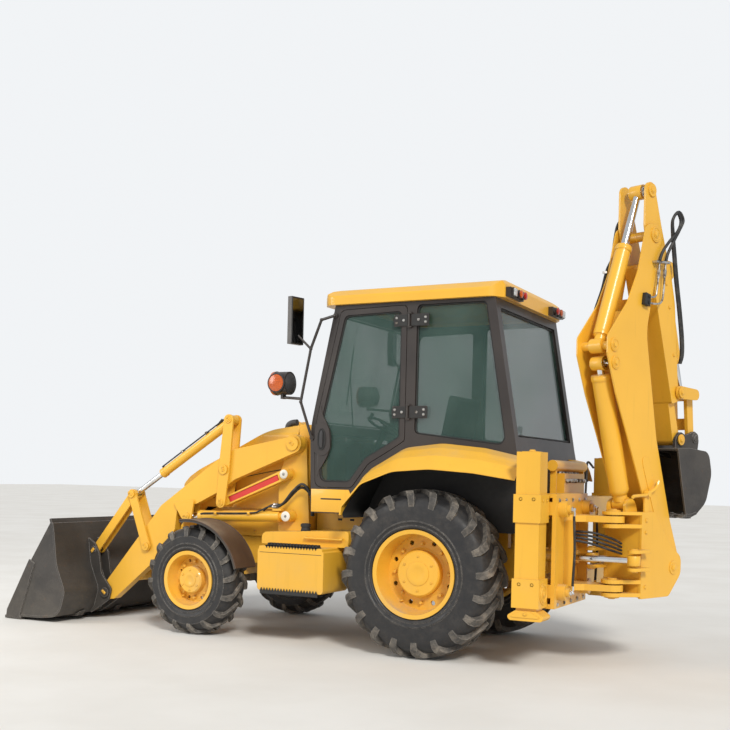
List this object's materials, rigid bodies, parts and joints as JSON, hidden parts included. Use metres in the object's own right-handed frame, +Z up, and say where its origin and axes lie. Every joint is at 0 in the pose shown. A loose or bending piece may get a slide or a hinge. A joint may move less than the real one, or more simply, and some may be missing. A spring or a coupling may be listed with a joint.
{
  "type": "backhoe loader",
  "caption": "Backhoe loader with a cab, a front loader bucket on lift arms, two stabilisers and a side-shifted folding digging arm with a bucket.",
  "frame": {"origin": "on the ground, under the middle of the machine's bounding box as it parks", "axes": "+X forward (towards the loader bucket), +Y to the driver's left, +Z up"},
  "size_m": [6.2584, 2.29, 3.7616],
  "materials": {
    "yellow_paint": "gloss",
    "dark_paint": "satin",
    "frame_paint": "satin",
    "bucket_paint": "matt, worn",
    "rod_chrome": "polished",
    "pin_steel": "satin",
    "tyre_rubber": "matt",
    "window_glass": "polished",
    "cab_plastic": "matt",
    "engine_paint": "satin"
  },
  "bodies": {
    "machine": {"chassis": "yellow_paint", "engine": "engine_paint", "cab_frame": "frame_paint", "cab_roof": "yellow_paint", "cab_glass": "window_glass", "cab_interior": "cab_plastic", "fenders": "yellow_paint", "side_boxes": "yellow_paint", "axles": "dark_paint", "rear_frame": "yellow_paint", "lamps_mirrors": "dark_paint"},
    "bonnet": {"bonnet": "yellow_paint"},
    "door": {"door": "frame_paint", "door_glass": "window_glass"},
    "knuckle_left": {"knuckle_left": "dark_paint"},
    "wheel_front_left": {"rim_front_left": "yellow_paint", "tyre_front_left": "tyre_rubber"},
    "wheel_rear_left": {"rim_rear_left": "yellow_paint", "tyre_rear_left": "tyre_rubber"},
    "knuckle_right": {"knuckle_right": "dark_paint"},
    "wheel_front_right": {"rim_front_right": "yellow_paint", "tyre_front_right": "tyre_rubber"},
    "wheel_rear_right": {"rim_rear_right": "yellow_paint", "tyre_rear_right": "tyre_rubber"},
    "loader_arms": {"loader_arms": "yellow_paint"},
    "lift_barrels": {"lift_barrels": "yellow_paint"},
    "lift_rods": {"lift_rods": "rod_chrome"},
    "levelling_links": {"levelling_links": "yellow_paint"},
    "tilt_levers": {"tilt_levers": "yellow_paint"},
    "tilt_barrels": {"tilt_barrels": "yellow_paint"},
    "tilt_rods": {"tilt_rods": "rod_chrome"},
    "lever_pins": {"lever_pins": "pin_steel"},
    "front_levers": {"front_levers": "yellow_paint"},
    "link_pins": {"link_pins": "pin_steel"},
    "bucket_links": {"bucket_links": "yellow_paint"},
    "bucket_pins": {"bucket_pins": "pin_steel"},
    "loader_bucket": {"loader_bucket": "bucket_paint"},
    "stabiliser_left": {"stabiliser_left": "yellow_paint"},
    "stabiliser_right": {"stabiliser_right": "yellow_paint"},
    "carriage": {"carriage": "yellow_paint"},
    "kingpost": {"kingpost": "yellow_paint"},
    "slew_rod_left": {"slew_rod_left": "rod_chrome"},
    "slew_rod_right": {"slew_rod_right": "rod_chrome"},
    "boom": {"boom": "yellow_paint"},
    "boom_barrel": {"boom_barrel": "yellow_paint"},
    "boom_rod": {"boom_rod": "rod_chrome"},
    "dipper": {"dipper": "yellow_paint"},
    "dipper_barrel": {"dipper_barrel": "yellow_paint"},
    "dipper_rod": {"dipper_rod": "rod_chrome"},
    "tipping_levers": {"tipping_levers": "yellow_paint"},
    "tipping_links": {"tipping_links": "yellow_paint"},
    "bucket_barrel": {"bucket_barrel": "yellow_paint"},
    "bucket_rod": {"bucket_rod": "rod_chrome"},
    "hoe_bucket": {"hoe_bucket": "bucket_paint"}
  },
  "joints": [
    {"name": "bonnet_hinge", "type": "hinge", "parent": "machine", "child": "bonnet", "pos_m": [0.339, 0, 1.866], "axis": [0, -1, 0], "range_deg": [0, 60]},
    {"name": "door_hinge", "type": "hinge", "parent": "machine", "child": "door", "pos_m": [-0.921, 0.795, 2.4], "axis": [0, 0, 1], "range_deg": [0, 90]},
    {"name": "steer_left", "type": "hinge", "parent": "machine", "child": "knuckle_left", "pos_m": [1.089, 0.67, 0.485], "axis": [0, 0, 1], "range_deg": [-30, 30]},
    {"name": "front_spin_left", "type": "hinge", "parent": "knuckle_left", "child": "wheel_front_left", "pos_m": [1.089, 0.855, 0.485], "axis": [0, 1, 0], "continuous": true},
    {"name": "rear_spin_left", "type": "hinge", "parent": "machine", "child": "wheel_rear_left", "pos_m": [-1.111, 0.815, 0.675], "axis": [0, 1, 0], "continuous": true},
    {"name": "steer_right", "type": "hinge", "parent": "machine", "child": "knuckle_right", "pos_m": [1.089, -0.67, 0.485], "axis": [0, 0, 1], "range_deg": [-30, 30]},
    {"name": "front_spin_right", "type": "hinge", "parent": "knuckle_right", "child": "wheel_front_right", "pos_m": [1.089, -0.855, 0.485], "axis": [0, 1, 0], "continuous": true},
    {"name": "rear_spin_right", "type": "hinge", "parent": "machine", "child": "wheel_rear_right", "pos_m": [-1.111, -0.815, 0.675], "axis": [0, 1, 0], "continuous": true},
    {"name": "loader_lift", "type": "hinge", "parent": "machine", "child": "loader_arms", "pos_m": [0.249, 0, 1.71], "axis": [0, -1, 0], "range_deg": [0, 75]},
    {"name": "lift_ram_swing", "type": "hinge", "parent": "machine", "child": "lift_barrels", "pos_m": [0.299, 0, 1.07], "axis": [0, -1, 0], "range_deg": [0, 62.3]},
    {"name": "lift_ram", "type": "slide", "parent": "lift_barrels", "child": "lift_rods", "axis": [0.9995, 0, -0.0327], "range_m": [0, 0.7151]},
    {"name": "levelling_link", "type": "hinge", "parent": "machine", "child": "levelling_links", "pos_m": [0.329, 0, 1.44], "axis": [0, -1, 0], "range_deg": [0, 79.62]},
    {"name": "tilt_lever", "type": "hinge", "parent": "loader_arms", "child": "tilt_levers", "pos_m": [0.959, 0, 1.47], "axis": [0, -1, 0], "range_deg": [-70.25, 0]},
    {"name": "tilt_ram_swing", "type": "hinge", "parent": "tilt_levers", "child": "tilt_barrels", "pos_m": [0.919, 0, 1.92], "axis": [0, -1, 0], "range_deg": [0, 62]},
    {"name": "loader_tilt", "type": "hinge", "parent": "bucket_pins", "child": "loader_bucket", "pos_m": [2.299, 0, 0.264], "axis": [0, -1, 0], "range_deg": [-50, 42]},
    {"name": "tilt_ram", "type": "slide", "parent": "tilt_barrels", "child": "tilt_rods", "axis": [0.8414, 0, -0.5404], "range_m": [-0.273, 0.3248]},
    {"name": "lever_pin", "type": "hinge", "parent": "loader_arms", "child": "lever_pins", "pos_m": [1.829, 0, 0.73], "axis": [0, -1, 0], "range_deg": [-62, 0]},
    {"name": "front_lever", "type": "hinge", "parent": "lever_pins", "child": "front_levers", "pos_m": [1.829, 0, 0.73], "axis": [0, -1, 0], "range_deg": [-41.5, 34.94]},
    {"name": "link_pin", "type": "hinge", "parent": "front_levers", "child": "link_pins", "pos_m": [2.009, 0, 1.22], "axis": [0, -1, 0], "range_deg": [0, 56]},
    {"name": "bucket_link", "type": "hinge", "parent": "link_pins", "child": "bucket_links", "pos_m": [2.009, 0, 1.22], "axis": [0, -1, 0], "range_deg": [-34.94, 41.5]},
    {"name": "bucket_pin", "type": "hinge", "parent": "loader_arms", "child": "bucket_pins", "pos_m": [2.299, 0, 0.264], "axis": [0, -1, 0], "range_deg": [-75.5, 0]},
    {"name": "stabiliser_slide_left", "type": "slide", "parent": "machine", "child": "stabiliser_left", "axis": [0, 0, -1], "range_m": [0, 0.5]},
    {"name": "stabiliser_slide_right", "type": "slide", "parent": "machine", "child": "stabiliser_right", "axis": [0, 0, -1], "range_m": [0, 0.5]},
    {"name": "side_shift", "type": "slide", "parent": "machine", "child": "carriage", "axis": [0, -1, 0], "range_m": [0, 1.04]},
    {"name": "slew", "type": "hinge", "parent": "carriage", "child": "kingpost", "pos_m": [-2.561, 0.52, 0.85], "axis": [0, 0, 1], "range_deg": [-160, 20]},
    {"name": "slew_ram_left", "type": "slide", "parent": "carriage", "child": "slew_rod_left", "axis": [-1, 0, 0], "range_m": [-0.3696, 0.0471]},
    {"name": "slew_ram_right", "type": "slide", "parent": "carriage", "child": "slew_rod_right", "axis": [-1, 0, 0], "range_m": [-0.0471, 0.3696]},
    {"name": "boom_swing", "type": "hinge", "parent": "kingpost", "child": "boom", "pos_m": [-2.75869, -0.02314, 0.775], "axis": [0.9397, -0.342, 0], "range_deg": [0, 75]},
    {"name": "boom_ram_swing", "type": "hinge", "parent": "kingpost", "child": "boom_barrel", "pos_m": [-2.5952, 0.42603, 1.275], "axis": [0.9397, -0.342, 0], "range_deg": [0, 86.45]},
    {"name": "boom_ram", "type": "slide", "parent": "boom_barrel", "child": "boom_rod", "axis": [0.1007, 0.2766, 0.9557], "range_m": [0, 0.7916]},
    {"name": "dipper_swing", "type": "hinge", "parent": "boom", "child": "dipper", "pos_m": [-2.65232, 0.2691, 3.36], "axis": [-0.9397, 0.342, 0], "range_deg": [0, 85]},
    {"name": "dipper_ram_swing", "type": "hinge", "parent": "boom", "child": "dipper_barrel", "pos_m": [-2.47721, 0.75022, 2.46], "axis": [-0.9397, 0.342, 0], "range_deg": [0, 10.79]},
    {"name": "dipper_ram", "type": "slide", "parent": "dipper_barrel", "child": "dipper_rod", "axis": [-0.1228, -0.3374, 0.9333], "range_m": [-0.4194, 0]},
    {"name": "hoe_bucket_curl", "type": "hinge", "parent": "dipper", "child": "hoe_bucket", "pos_m": [-2.8076, -0.15752, 1.79], "axis": [-0.9397, 0.342, 0], "range_deg": [0, 75]},
    {"name": "tipping_lever", "type": "hinge", "parent": "dipper", "child": "tipping_levers", "pos_m": [-2.79186, -0.11429, 2.166], "axis": [-0.9397, 0.342, 0], "range_deg": [0, 56.08]},
    {"name": "tipping_link", "type": "hinge", "parent": "tipping_levers", "child": "tipping_links", "pos_m": [-2.87053, -0.33042, 2.162], "axis": [-0.9397, 0.342, 0], "range_deg": [-70.62, 0]},
    {"name": "bucket_ram_swing", "type": "hinge", "parent": "dipper", "child": "bucket_barrel", "pos_m": [-2.76621, -0.04382, 3.144], "axis": [-0.9397, 0.342, 0], "range_deg": [-2.98, 0]},
    {"name": "bucket_ram", "type": "slide", "parent": "bucket_barrel", "child": "bucket_rod", "axis": [-0.1014, -0.2787, -0.955], "range_m": [-0.2117, 0]}
  ],
  "couplings": [
    {"joint": "steer_right", "follows": "steer_left", "ratio": 1},
    {"joint": "lift_ram_swing", "follows": "loader_lift", "ratio": 0.824},
    {"joint": "lift_ram", "follows": "loader_lift", "m_per_rad": 0.5455},
    {"joint": "levelling_link", "follows": "loader_lift", "ratio": 1.055},
    {"joint": "tilt_lever", "follows": "loader_lift", "ratio": -0.93},
    {"joint": "tilt_ram_swing", "follows": "loader_lift", "ratio": 0.82},
    {"joint": "tilt_ram", "follows": "loader_tilt", "m_per_rad": -0.371},
    {"joint": "lever_pin", "follows": "loader_lift", "ratio": -0.82},
    {"joint": "front_lever", "follows": "loader_tilt", "ratio": 0.82},
    {"joint": "link_pin", "follows": "loader_lift", "ratio": 0.74},
    {"joint": "bucket_link", "follows": "loader_tilt", "ratio": -0.82},
    {"joint": "bucket_pin", "follows": "loader_lift", "ratio": -1},
    {"joint": "slew_ram_left", "follows": "slew", "m_per_rad": 0.132},
    {"joint": "slew_ram_right", "follows": "slew", "m_per_rad": -0.132},
    {"joint": "boom_ram_swing", "follows": "boom_swing", "ratio": 1.146},
    {"joint": "boom_ram", "follows": "boom_swing", "m_per_rad": 0.604},
    {"joint": "dipper_ram_swing", "follows": "dipper_swing", "ratio": 0.121},
    {"joint": "dipper_ram", "follows": "dipper_swing", "m_per_rad": -0.282},
    {"joint": "tipping_lever", "follows": "hoe_bucket_curl", "ratio": 0.741},
    {"joint": "tipping_link", "follows": "hoe_bucket_curl", "ratio": -0.935},
    {"joint": "bucket_ram_swing", "follows": "hoe_bucket_curl", "ratio": -0.033},
    {"joint": "bucket_ram", "follows": "hoe_bucket_curl", "m_per_rad": -0.161}
  ]
}
